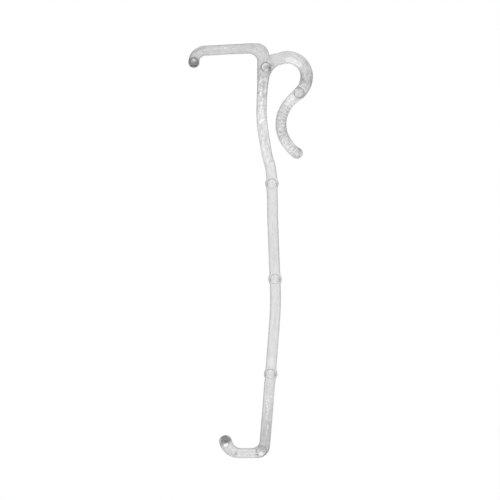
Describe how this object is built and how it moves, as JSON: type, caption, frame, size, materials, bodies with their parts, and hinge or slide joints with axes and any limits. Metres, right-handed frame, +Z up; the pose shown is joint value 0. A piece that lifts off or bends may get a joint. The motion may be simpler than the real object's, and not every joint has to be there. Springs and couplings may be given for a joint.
{
  "type": "hidden valance clip",
  "caption": "Clear moulded clip: a bowed stem with a lipped arm and a lipped ledge that hold a valance board, and a spring curl that grips a blind's headrail.",
  "frame": {"origin": "middle of the curl's bow, where the headrail's lip sits, halfway across the strip", "axes": "+X from the valance board towards the headrail, +Y across the strip, +Z up the stem"},
  "size_m": [0.0281, 0.0094, 0.0938],
  "materials": {
    "clear_plastic": "clear, slightly hazy"
  },
  "bodies": {
    "head": {"neck": "clear_plastic", "junction_pad": "clear_plastic", "stem_pad_upper": "clear_plastic", "stem_span_upper": "clear_plastic"},
    "arm": {"top_arm": "clear_plastic", "top_lip": "clear_plastic", "top_lip_pad": "clear_plastic"},
    "curl": {"curl_bow": "clear_plastic", "curl_pad": "clear_plastic", "curl_tail": "clear_plastic", "curl_tip_pad": "clear_plastic"},
    "lower_stem": {"stem_pad_middle": "clear_plastic", "stem_span_lower": "clear_plastic", "stem_pad_lower": "clear_plastic", "stem_foot": "clear_plastic", "corner_pad": "clear_plastic"},
    "hook": {"bottom_ledge": "clear_plastic", "bottom_lip": "clear_plastic", "bottom_lip_pad": "clear_plastic"}
  },
  "joints": [
    {"name": "arm_flex", "type": "hinge", "parent": "head", "child": "arm", "pos_m": [-0.00899, 0, 0.00633], "axis": [0, 1, 0], "range_deg": [-3, 8], "stiffness_Nm_per_rad": 4},
    {"name": "curl_flex", "type": "hinge", "parent": "head", "child": "curl", "pos_m": [0, 0, 0.00431], "axis": [0, -1, 0], "range_deg": [-4, 10], "stiffness_Nm_per_rad": 2.3},
    {"name": "stem_flex", "type": "hinge", "parent": "head", "child": "lower_stem", "pos_m": [-0.00279, 0, -0.04573], "axis": [0, 1, 0], "range_deg": [-5, 5], "stiffness_Nm_per_rad": 0.84},
    {"name": "hook_flex", "type": "hinge", "parent": "lower_stem", "child": "hook", "pos_m": [-0.00593, 0, -0.08448], "axis": [0, -1, 0], "range_deg": [-2, 6], "stiffness_Nm_per_rad": 7.1}
  ]
}
